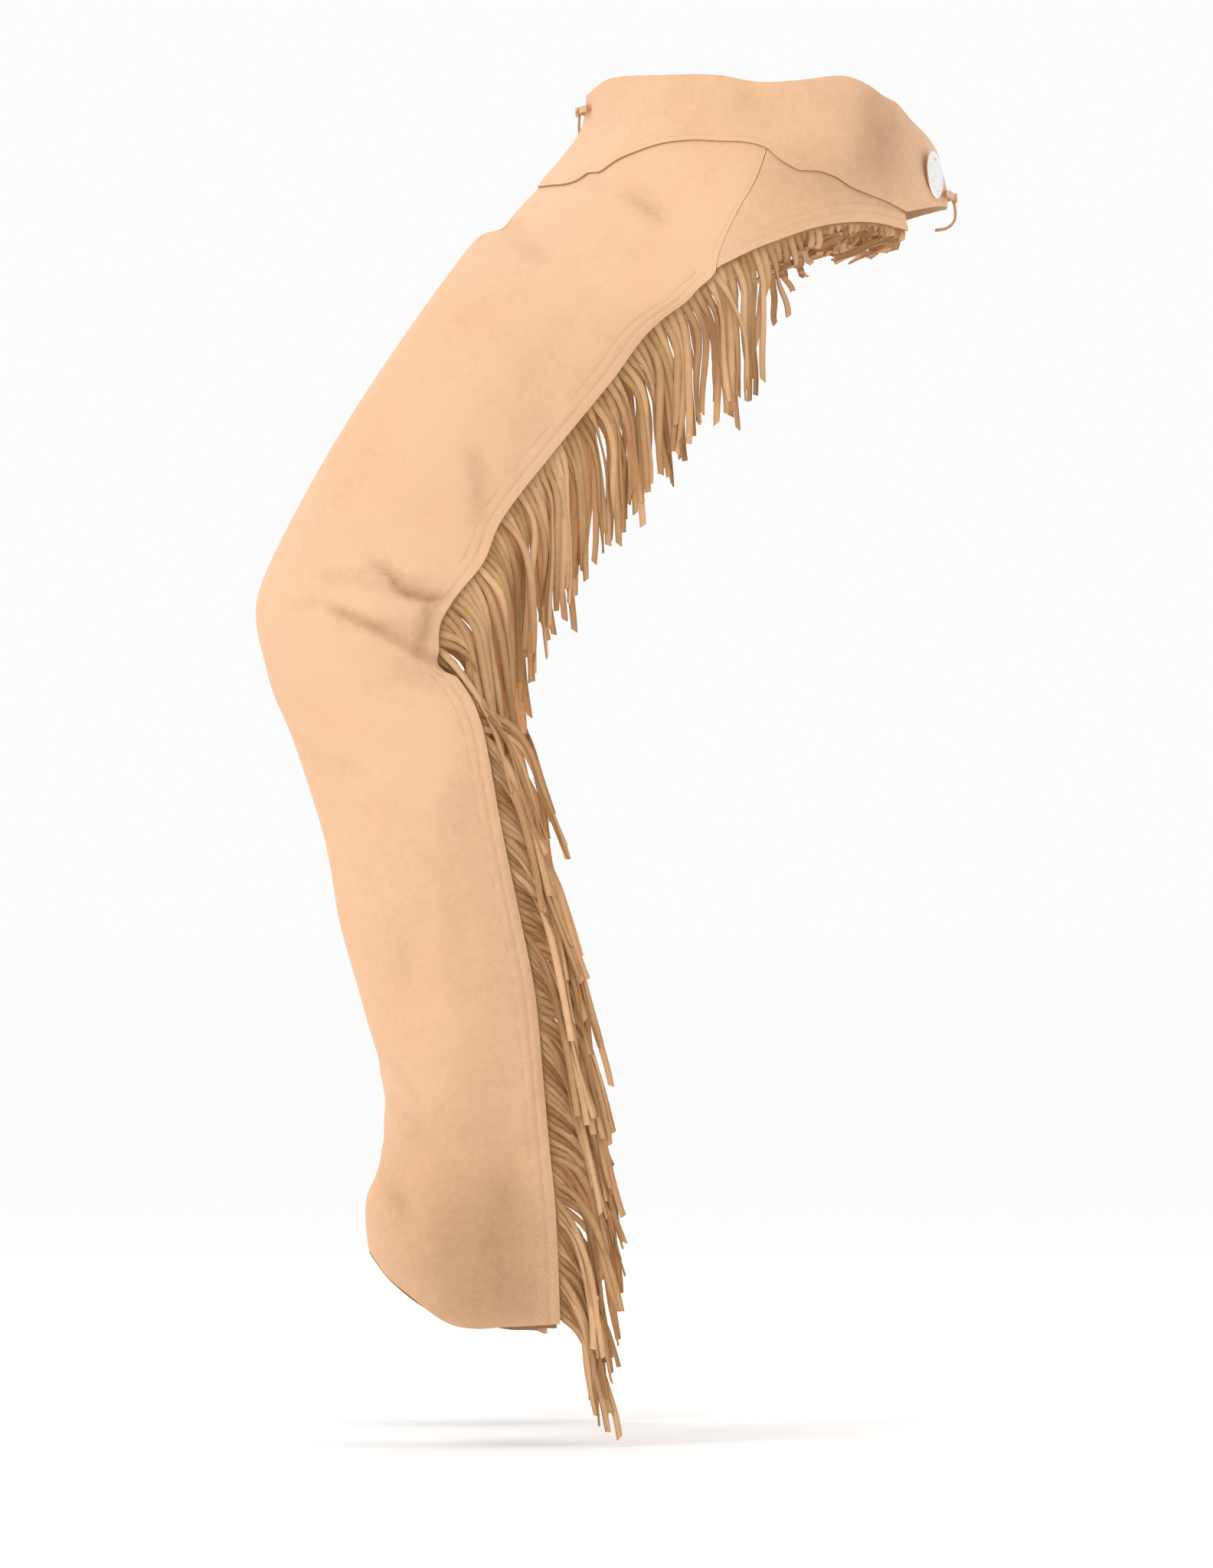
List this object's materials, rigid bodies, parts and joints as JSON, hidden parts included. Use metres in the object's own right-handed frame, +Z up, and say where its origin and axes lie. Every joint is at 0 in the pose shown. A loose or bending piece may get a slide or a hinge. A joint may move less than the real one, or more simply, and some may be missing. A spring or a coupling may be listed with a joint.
{
  "type": "pair of leather chaps",
  "caption": "Suede riding chaps in a seated rider's pose: shaped yoke, long wrapped leg panels and hanging fringe along the outer seam.",
  "frame": {"origin": "middle of the waist at the height of the yoke's top edge", "axes": "+Z up, the wearer faces -Y, the wearer's left is +X"},
  "size_m": [0.6596, 0.5014, 0.9958],
  "materials": {
    "suede": "matte brushed suede",
    "fringe_suede": "matte suede, cut edges",
    "concho_metal": "polished"
  },
  "bodies": {
    "root": {"yoke_left": "suede", "yoke_right": "suede", "leg_panel_left": "suede", "leg_panel_right": "suede", "hip_panel_left": "suede", "hip_panel_right": "suede", "fringe_hip_left": "fringe_suede", "fringe_hip_right": "fringe_suede", "fringe_thigh_left": "fringe_suede", "fringe_thigh_right": "fringe_suede", "fringe_shin_left": "fringe_suede", "fringe_shin_right": "fringe_suede", "concho_left": "concho_metal", "concho_right": "concho_metal", "back_lace": "suede", "back_knot": "suede", "front_lace": "suede", "front_knot": "suede"}
  },
  "joints": []
}
